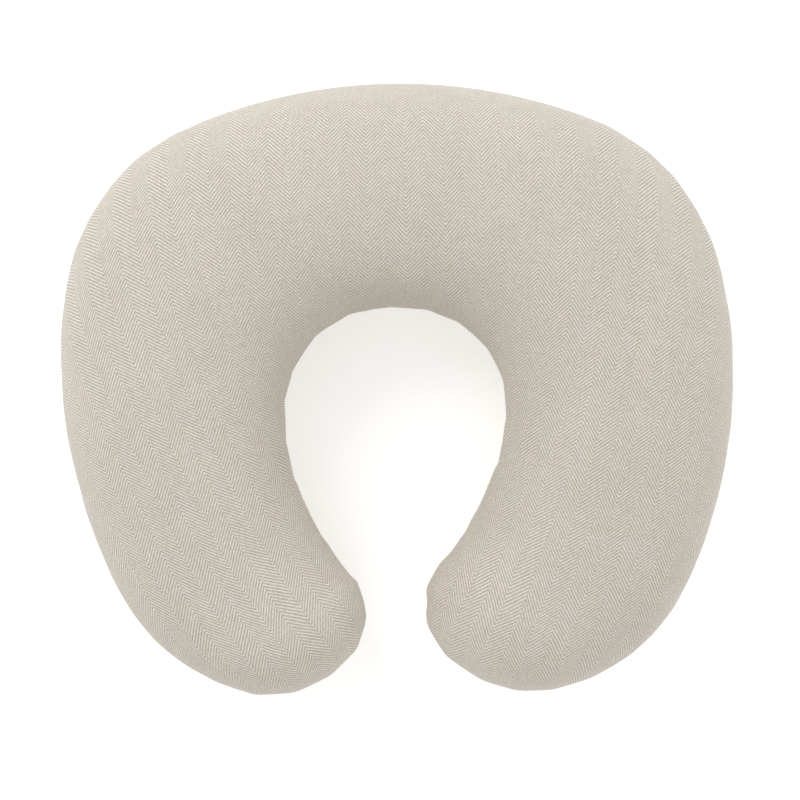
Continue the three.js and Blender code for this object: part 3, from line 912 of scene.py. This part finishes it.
CASING_INSET = 11 * MM
CASING_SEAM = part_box("inner_casing_top")[0].z
CASING_DROP = 3 * MM  # its crown under the cover's
CASING_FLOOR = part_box("inner_casing_bottom")[0].z
CASING_THICK = 0.6 * MM
FILL_INSET = 13.4 * MM
FILL_DROP = 5 * MM
FILL_FLOOR = 4 * MM
CASING_STEPS = 10
CASING_PINCH = 1 * MM  # of the casing at its seam
CASING_GAP = 0.35 * MM  # of each panel from its seam
CASING_CREASES = (0.8 * MM, 60)  # depth, and how many to the metre
FILL_LUMPS = (1.4 * MM, 45)


def stuffed_rings(inset, drop, floor, pinch):
    """Upper and lower rings of a stuffed body inside the cover, drawn in by pinch at its seam."""
    angles = [FLAT_ANGLE * step / CASING_STEPS for step in range(CASING_STEPS + 1)]
    upper = crown_rings(CASING_STEPS, CASING_SEAM, HEIGHT * FULLNESS - drop, inset, pinch)
    return np.array(upper), np.array(under_rings(angles, CASING_SEAM, floor, inset, pinch))


def pushed_in(rings, deepest, number):
    """Rings pushed towards the middle line here and there, for creases and lumps."""
    done = rings.copy()
    for r, row in enumerate(rings):
        for i, point in enumerate(row):
            lump = 0.5 + 0.5 * noise.noise(Vector(point) * number)
            middle = Vector((*SPINE[PARTNERS[i]], CASING_SEAM))
            done[r, i] += np.array((middle - Vector(point)).normalized()) * deepest * lump
    done[-1] = done[-1][PARTNERS]
    return done


def casing():
    panels = stuffed_rings(CASING_INSET, CASING_DROP, CASING_FLOOR, CASING_PINCH)
    for word, rings in zip(("top", "bottom"), panels):
        creased = pushed_in(rings, *CASING_CREASES)
        creased[0, :, 2] += CASING_GAP if word == "top" else -CASING_GAP
        made = cloth_shell("casing_" + word, creased, rings, word == "top", CASING_THICK)
        finish_piece(made, "casing_fabric", f"inner_casing_{word}")


def filling():
    upper, lower = stuffed_rings(FILL_INSET, FILL_DROP, FILL_FLOOR, 0)
    upper, lower = (pushed_in(rings, *FILL_LUMPS) for rings in (upper, lower))
    used, faces = in_use(closed_faces(len(upper), len(lower)))
    made = mesh_object("filling", np.concatenate([upper, lower]).reshape(-1, 3)[used], faces)
    subdivide(made)
    finish_piece(made, "fibre_fill", "fibre_fill")


# ---- Sewing ----

ARC_CENTRE = Vector((0, HALF_DEPTH - BACK_RADIUS, SEAM_Z))


def on_arc(angle, radius, height):
    """A point: its angle from +Y towards +X in degrees, its radius and height over the seam in mm."""
    turn = math.radians(angle)
    return ARC_CENTRE + Vector((math.sin(turn) * radius, math.cos(turn) * radius, height)) * MM


def arc_degrees(length, radius=BACK_RADIUS / MM):
    return math.degrees(length / radius)


def arc_outward(angle):
    turn = math.radians(angle)
    return Vector((math.sin(turn), math.cos(turn), 0))


def stitch(shape, start, end, outward, radius, steps=7):
    """A plump stitch that dips into the cloth at both ends."""
    start, end, outward = (np.array(v) for v in (start, end, outward))
    path, radii = [], []
    for i in range(steps):
        share = i / (steps - 1)
        lift = math.sin(math.pi * share) ** 0.5 if 0 < share < 1 else 0
        path.append(start + (end - start) * share + outward * radius * (1.1 * lift - 0.6))
        radii.append(radius * (0.5 + 0.5 * lift))
    shape.tube(path, radii)


STITCH_LENGTH = 2.7
STITCH_PITCH = 3.1
STITCH_HEIGHT = 8.5  # of each row from the seam line
STITCH_RADIUS = {1: 415.95, -1: 415.45}
STITCH_WANDER = 0.12
THREAD_RADIUS = 0.28 * MM
BARTACK_ANGLE = 21.35
BARTACK_RADIUS = 416.25
BARTACK_HALF = 4.8  # of its height
BARTACK_WIDTH = 1.8
BARTACK_PITCH = 0.42
BARTACK_SLANT = 0.16
BARTACK_THREAD = 0.24 * MM


def sewn_row(name, node, radius, thread, row):
    """Stitches on the arc of the back, each given as (middle angle, length, height, slant)."""
    shape = Shape()
    for angle, length, height, slant in row:
        half = arc_degrees(length) / 2
        ends = [on_arc(angle + half * k, radius, height + slant * k) for k in (-1, 1)]
        stitch(shape, *ends, arc_outward(angle), thread)
    finish_piece(shape.made(name), "sewing_thread", node)


def stitching(side, word):
    """Topstitching of a folded panel edge to the zipper's tape."""
    pitch = arc_degrees(STITCH_PITCH)
    number = int(2 * OPENING_ANGLE / pitch)
    row = []
    for i in range(number):
        angle = (i - (number - 1) / 2) * pitch
        wander = STITCH_WANDER * noise.noise(Vector((angle, side, 0)))
        row.append((angle, STITCH_LENGTH, side * STITCH_HEIGHT + wander, 0))
    node = "zipper_stitching_" + word
    sewn_row("zipper_stitches_" + word, node, STITCH_RADIUS[side], THREAD_RADIUS, row)


def bartack(side, word):
    """Close zigzag stitches across an end of the zipper."""
    number = int(2 * BARTACK_HALF / BARTACK_PITCH)
    row = []
    for i in range(number + 1):
        height = -BARTACK_HALF + 2 * BARTACK_HALF * i / number
        slant = BARTACK_SLANT if i % 2 else -BARTACK_SLANT
        row.append((side * BARTACK_ANGLE, BARTACK_WIDTH, height, slant))
    sewn_row("bartack_" + word, "zipper_bartack_" + word, BARTACK_RADIUS, BARTACK_THREAD, row)


SEAM_THREAD_INSET = 6.5 * MM
SEAM_STITCH = 2.8 * MM
SEAM_THREAD = 0.24 * MM  # its radius
SEAM_WAVE = 0.12 * MM
CLOSING_FRONT = -100 * MM  # the casing was filled between this x and the middle
CLOSING_INSET = CASING_INSET - 0.5 * MM
CLOSING_PITCH = 4 * MM  # of its overcast stitches
CLOSING_SIDES = 8
CLOSING_HALF = (0.9 * MM, 1.1 * MM)  # half of their depth and of their height
CLOSING_THREAD = 0.22 * MM


def run_of(picked):
    """The unbroken run of stations that the test picks, in order round the outline."""
    chosen = [i for i in range(COUNT) if picked(i)]
    breaks = [n for n in range(1, len(chosen)) if chosen[n] != chosen[n - 1] + 1]
    return chosen[breaks[0]:] + chosen[:breaks[0]] if breaks else chosen


def along_stations(run, inset, z, step):
    """Points a step apart along the outline, with the outward direction at each."""
    points = EDGE[run] - OUTWARD[run] * inset
    lengths = np.concatenate([[0], np.cumsum(np.linalg.norm(np.diff(points, axis=0), axis=1))])
    places = np.linspace(0, lengths[-1], max(2, round(lengths[-1] / step)))
    found = np.column_stack([np.interp(places, lengths, points[:, k]) for k in (0, 1)])
    outward = np.column_stack([np.interp(places, lengths, OUTWARD[run, k]) for k in (0, 1)])
    flat = np.zeros((len(places), 1))
    return np.column_stack([found, flat + z]), np.column_stack([outward, flat])


def seam_thread():
    """The lock-stitched thread that joins the cover panels, all round but for the zipper."""
    run = run_of(lambda i: ZIPPED[i] <= 0)
    points = along_stations(run, SEAM_THREAD_INSET, SEAM_Z, SEAM_STITCH / 4)[0]
    wave = np.sin(np.arange(len(points)) * math.pi / 2)
    points[:, 2] += SEAM_WAVE * wave
    shape = Shape()
    shape.tube(points, SEAM_THREAD * (1 + 0.15 * wave), 6)
    finish_piece(shape.made("seam_thread"), "sewing_thread", "cover_seam_thread")


def closing_thread():
    """Overcast stitches that close the inner casing at the waist, where it was filled."""
    def filled_here(i):
        x, y = EDGE[i]
        return SIDE[i] < 0 and x > CLOSING_FRONT and 0 < y < HALF_DEPTH / 2

    step = CLOSING_PITCH / CLOSING_SIDES
    points, outward = along_stations(run_of(filled_here), CLOSING_INSET, CASING_SEAM, step)
    turn = np.arange(len(points)) * 2 * math.pi / CLOSING_SIDES
    deep, high = CLOSING_HALF
    points += outward * np.cos(turn)[:, None] * deep
    points[:, 2] += high * np.sin(turn)
    shape = Shape()
    shape.tube(points, CLOSING_THREAD, 6)
    finish_piece(shape.made("closing_stitches"), "sewing_thread", "casing_closing_thread")


# ---- Labels ----

LABEL_INSET = 8.2 * MM
LABEL_THICK = 0.3 * MM
LABEL_GRID = (24, 22)  # across and up
LABEL_RIPPLE = 0.5 * MM
LABEL_CURL = 1.1 * MM  # of its free end
LABEL_STITCH = 2.6 * MM  # from one to the next
LABEL_STITCH_HALF = 0.95 * MM
LABEL_STITCH_FOOT = 2 * MM  # above the label's foot
LABEL_STITCH_OUT = 0.25 * MM
LABEL_THREAD = 0.16 * MM
SIDE_ARC = 3  # the labels hang where this arc of the outline starts
LABELS = (  # name, arm, node, width and height
    ("care_tag", -1, "care_label", 30 * MM, 34 * MM),
    ("casing_tag", 1, "inner_casing_label", 44 * MM, 26 * MM),
)


def label(name, side, node, width, height):
    """A blank ribbon label on the side of an arm, a little curled, sewn along its foot."""
    point, outward = OUTLINE.at(OUTLINE.place(SIDE_ARC, 0))
    place = point - outward * LABEL_INSET
    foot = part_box(node)[0].z
    along = Vector((outward.y, -outward.x))
    across, up = LABEL_GRID
    points, flat = [], []
    for row in range(up + 1):
        rise = row / up
        for column in range(across + 1):
            u = width * (column / across - 0.5)
            v = height * rise
            curl = LABEL_RIPPLE * math.sin(u * 90 + v * 70) * rise - LABEL_CURL * rise ** 3
            spot = place + along * u + outward * curl
            points.append((side * spot.x, spot.y, foot + v))
            flat.append((u, v))
    made = cloth_object(name, points, strip_faces(up, across, side > 0), flat)
    thicken(made, LABEL_THICK, 0)
    finish_piece(made, "label_ribbon", node)
    sewn = Shape()
    for i in range(int(width / LABEL_STITCH)):
        u = -width / 2 + (i + 0.5) * LABEL_STITCH
        ends = [place + along * (u + k * LABEL_STITCH_HALF) + outward * LABEL_STITCH_OUT for k in (-1, 1)]
        ends = [Vector((side * e.x, e.y, foot + LABEL_STITCH_FOOT)) for e in ends]
        stitch(sewn, *ends, Vector((side * outward.x, outward.y, 0)), LABEL_THREAD, 5)
    finish_piece(sewn.made(name + "_stitches"), "sewing_thread")


# ---- Zipper ----

TAPE_ANGLE = 21.6
TAPE_RADIUS = 413.3
TAPE_THICK = 0.38
TAPE_GRID = (300, 12)  # along and across
TAPE_DIP = 0.06  # of its unevenness
TAPE_SPAN = (0.26, 10.6)  # of each tape from the seam line, in mm
TAPE_MEETS = (19.3, 19.9, 0.05)  # past the stops the tapes come together: from, to, and how close in mm
COIL_CENTRE = (414.3, 1.37)  # radius, and height from the seam line
COIL_HALF = (0.4, 0.82)
WIRE = 0.3  # its radius
HEAD_SWELL = 0.16  # how much thicker the wire is at its heads
COIL_PITCH = 1.3
COIL_SIDES = 12  # points to a turn
CHAIN_ANGLE = 19.4
STOP_ANGLE = 19.45
STOP_LENGTH = 2.4
STOP_SPAN = (0.4, 2.9)  # of a top stop from the seam line
STOP_WIRE = 0.42
STOP_WRAP = 0.78  # from one wrap to the next
STOP_BEND = ((414.0, 0.42), (414.5, 0.42), (414.76, 0.7))  # radius, and inset from either end
SOLE_RADIUS = 414.05
SOLE_WIRE = 0.4
SOLE_INSET = 0.45
SOLE_PITCH = 0.3


def tape(side, word):
    """Woven zipper tape, a little uneven; past the stops the two tapes come together."""
    columns, rows = TAPE_GRID
    points, flat = [], []
    start, end, closest = TAPE_MEETS
    for c in range(columns + 1):
        angle = TAPE_ANGLE * (2 * c / columns - 1)
        near = TAPE_SPAN[0] + (closest - TAPE_SPAN[0]) * float(smooth(abs(angle), start, end))
        for r in range(rows + 1):
            height = near + (TAPE_SPAN[1] - near) * r / rows
            dip = TAPE_DIP * (1 + noise.noise(Vector((angle * 1.3, height * 0.4, side))))
            points.append(on_arc(angle, TAPE_RADIUS - dip, side * height))
            flat.append((math.radians(angle) * TAPE_RADIUS * MM, height * MM))
    made = cloth_object("tape_" + word, points, strip_faces(columns, rows, side < 0), flat)
    thicken(made, TAPE_THICK * MM)
    finish_piece(made, "zipper_tape", "zipper_tape_" + word)


def coil(side, word):
    """One half of the chain: a flattened spiral of wire, its heads towards the other half."""
    turns = int(2 * math.radians(CHAIN_ANGLE) * COIL_CENTRE[0] / COIL_PITCH) - 1
    path, radii = [], []
    for i in range(turns * COIL_SIDES + 1):
        turn = 2 * math.pi * i / COIL_SIDES
        share = (i / COIL_SIDES + (0.5 if side < 0 else 0)) / turns
        angle = CHAIN_ANGLE * (2 * share - 1)
        head = max(-math.cos(turn), 0)
        height = COIL_CENTRE[1] + COIL_HALF[1] * math.cos(turn)
        path.append(on_arc(angle, COIL_CENTRE[0] + COIL_HALF[0] * math.sin(turn), side * height))
        radii.append(WIRE * MM * (1 + HEAD_SWELL * head ** 2))
    shape = Shape()
    shape.tube(path, radii, 7)
    finish_piece(shape.made("coil_" + word), "zipper_coil", "zipper_coil_" + word)


def stop(name, node, start, heights):
    """A crimped metal stop: three wraps of wire pressed together on a sole."""
    shape = Shape()
    low, high = heights
    centre = start + arc_degrees(STOP_LENGTH) / 2
    wrap = arc_degrees(STOP_WRAP)
    for k in (-1, 0, 1):
        path = [on_arc(centre + wrap * k, radius, low + inset) for radius, inset in STOP_BEND]
        path += [on_arc(centre + wrap * k, radius, high - inset) for radius, inset in reversed(STOP_BEND)]
        shape.tube(path, STOP_WIRE * MM, 10)
    for height in np.arange(low + SOLE_INSET, high - SOLE_INSET, SOLE_PITCH):
        ends = [on_arc(centre + wrap * k, SOLE_RADIUS, height) for k in (-1, 1)]
        shape.tube(ends, SOLE_WIRE * MM, 8)
    finish_piece(shape.cast(name, METAL_GRAIN), "zipper_metal", node)


PARK_ANGLE = 18.6
SLIDER_HALF = 4.5  # of its length
PLATES = ((-8.5, -7.6), (-4.6, -3.7))  # from and to, outward from the arc of the back
PLATE_CORNERS = ((-SLIDER_HALF, -3.5, 1.1), (SLIDER_HALF, -4.2, 2.6),  # along, up, radius
                 (SLIDER_HALF, 4.2, 2.6), (-SLIDER_HALF, 3.5, 1.1))
NECK = ((2.1, 0), (2.6, -0.17), (3.8, -0.17), (4.1, 0), (3.8, 0.17), (2.6, 0.17))
FLANGE = ((-3.5, 2.95), (1.3, 2.95), (1.3, 3.5), (-3.5, 3.5))
FLANGE_BACK = -6.3
SINK = 0.2  # how far a part goes into the plate it stands on
PIVOT = -2.7
BRIDGE = ((2.8, -4.0), (2.8, -2.5), (2.68, -1.95), (2.3, -1.56), (1.7, -1.4))  # along, outward
BRIDGE_WIRE = 0.4
BRIDGE_HALF = 0.2  # of the distance between its two wires
CORNER_STEPS = 8
SLIDER_GRAIN = 0.1 * MM
METAL_GRAIN = 0.11 * MM
TAB_TIP = -21.5
TAB_HALF = 2.05  # of its width
TAB_EYE = -4.2  # where the eye round the bridge ends
TAB_BLUNT = 0.75  # of its rounded tip, with 1 for a half circle
TAB_CROSSBAR = TAB_EYE - 0.3
TAB_RIM = 0.44
TAB_AXLE = (0.46, 2.25)  # radius and half length
TAB_PANEL = 0.26  # half of its thickness


def on_slider(along, outward, up):
    """A point in the parked slider's own frame, in mm."""
    out = arc_outward(PARK_ANGLE)
    forward = Vector((out.y, -out.x, 0))
    offset = (forward * along + out * outward + Vector((0, 0, up))) * MM
    return on_arc(PARK_ANGLE, BACK_RADIUS / MM, 0) + offset


def plate_outline():
    """A slider plate: wide where the two halves of the chain come in, narrow where they leave."""
    outline = []
    for n, (u, v, radius) in enumerate(PLATE_CORNERS):
        centre = (u - math.copysign(radius, u), v - math.copysign(radius, v))
        for i in range(CORNER_STEPS + 1):
            angle = math.radians(180 + 90 * n) + math.radians(90) * i / CORNER_STEPS
            outline.append((centre[0] + radius * math.cos(angle), centre[1] + radius * math.sin(angle)))
    return outline


def slider():
    """Two cast plates on a thin neck, flanges that keep the coils in, and a bridge for the pull."""
    def place(u, v, height):
        return on_slider(u, height, v)

    shape = Shape()
    for low, high in PLATES:
        shape.prism(plate_outline()[::-1], low, high, place)
    shape.prism(NECK[::-1], PLATES[0][1] - SINK, PLATES[1][0] + SINK, place)
    for side in (-1, 1):
        flange = [(u, side * v) for u, v in (FLANGE if side < 0 else FLANGE[::-1])]
        shape.prism(flange, FLANGE_BACK, PLATES[1][0] + SINK, place)
    bridge = BRIDGE + tuple((-along, out) for along, out in reversed(BRIDGE))
    for up in (-BRIDGE_HALF, BRIDGE_HALF):
        shape.tube([on_slider(along, out, up) for along, out in bridge], BRIDGE_WIRE * MM, 10)
    finish_piece(shape.cast("slider_body", SLIDER_GRAIN), "zipper_metal", "zipper_slider", "slider")


def pull():
    """The pull tab: a sunk panel inside a rounded rim, with an eye round the slider's bridge."""
    def place(u, v, height):
        return on_slider(u, PIVOT + height, v)

    round_end = []
    for degrees in range(-90, 91, 15):
        turn = math.radians(degrees)
        u = TAB_TIP + TAB_HALF * (1 - math.cos(turn)) * TAB_BLUNT
        round_end.append((u, TAB_HALF * math.sin(turn)))
    panel = [(TAB_EYE, -TAB_HALF), *round_end, (TAB_EYE, TAB_HALF)]
    axle_radius, axle_half = TAB_AXLE
    shape = Shape()
    shape.tube([place(u, v, 0) for u, v in ((0, -TAB_HALF), *panel, (0, TAB_HALF))], TAB_RIM * MM, 10)
    shape.tube([place(0, v, 0) for v in (-axle_half, -1, 0, 1, axle_half)], axle_radius * MM, 12)
    shape.tube([place(TAB_CROSSBAR, v, 0) for v in (-TAB_HALF, 0, TAB_HALF)], TAB_RIM * MM, 10)
    shape.prism(panel, -TAB_PANEL, TAB_PANEL, place)
    finish_piece(shape.cast("pull_tab", METAL_GRAIN), "zipper_metal", "zipper_pull", "pull")


def zipper():
    near, far = STOP_SPAN
    for word, side, heights in (("upper", 1, (near, far)), ("lower", -1, (-far, -near))):
        tape(side, word)
        coil(side, word)
        stitching(side, word)
        stop("top_stop_" + word, "zipper_top_stop_" + word, STOP_ANGLE, heights)
    stop("bottom_stop", "zipper_bottom_stop", -STOP_ANGLE - arc_degrees(STOP_LENGTH), (-far, far))
    for word, side in (("left", -1), ("right", 1)):
        bartack(side, word)
    slider()
    pull()


cover()
casing()
filling()
seam_thread()
closing_thread()
for tag in LABELS:
    label(*tag)
zipper()

# ---- Camera, light and floor ----

VIEW_HEIGHT = 2.6
VIEW_WIDTH = 0.6305  # metres across the picture at the widest line
SENSOR = 36.0
VIEW_CENTRE = (0.0033, -0.0095)
VIEW_TURN = 1.25  # the pillow lies turned a little under the camera, in degrees
SKY_LIGHT = 0.77  # strength of the white surroundings, which are seen as pure white
LIGHTS = (  # name, place, target, size and power in watts
    ("key", (-1.4, 1.8, 2.2), (0, 0, 0.05), 1.6, 34),
    ("side", (1.9, 0.8, 1.2), (-0.08, 0, 0.07), 1.2, 8),
    ("fill", (-0.9, -1.8, 2.6), (0, 0, 0.05), 2.4, 5),
)
FLOOR_HALF = 8
FLOOR_DROP = 0.4 * MM  # under the pillow


def camera():
    data = bpy.data.cameras.new("camera")
    data.sensor_width = SENSOR
    data.lens = SENSOR * (VIEW_HEIGHT - WIDE_Z) / VIEW_WIDTH
    data.clip_end = 50
    made = bpy.data.objects.new("camera", data)
    made.location = (*VIEW_CENTRE, VIEW_HEIGHT)
    made.rotation_euler.z = -math.radians(VIEW_TURN)
    bpy.context.scene.collection.objects.link(made)
    bpy.context.scene.camera = made


def area_light(name, place, target, size, power):
    data = bpy.data.lights.new(name, "AREA")
    data.shape = "SQUARE"
    data.size = size
    data.energy = power
    made = bpy.data.objects.new(name, data)
    made.location = place
    made.rotation_euler = (Vector(target) - Vector(place)).to_track_quat("-Z", "Y").to_euler()
    bpy.context.scene.collection.objects.link(made)


def studio():
    for light in LIGHTS:
        area_light(*light)
    world = bpy.data.worlds.new("studio")
    world.use_nodes = True
    w = Wiring(world.node_tree)
    seen = w.value("LightPath", "Is Camera Ray")
    background = world.node_tree.nodes["Background"]
    w.put(background.inputs["Color"], (1, 1, 1, 1))
    w.put(background.inputs["Strength"], w.ramp(seen, 0, 1, SKY_LIGHT, 1))
    bpy.context.scene.world = world
    bpy.context.scene.view_settings.view_transform = "Standard"
    corners = [(FLOOR_HALF * x, FLOOR_HALF * y, 0) for x, y in ((-1, -1), (1, -1), (1, 1), (-1, 1))]
    floor = mesh_object("floor", corners, [[0, 1, 2, 3]])
    floor.location.z = -FLOOR_DROP
    floor.data.materials.append(floor_material())


camera()
studio()
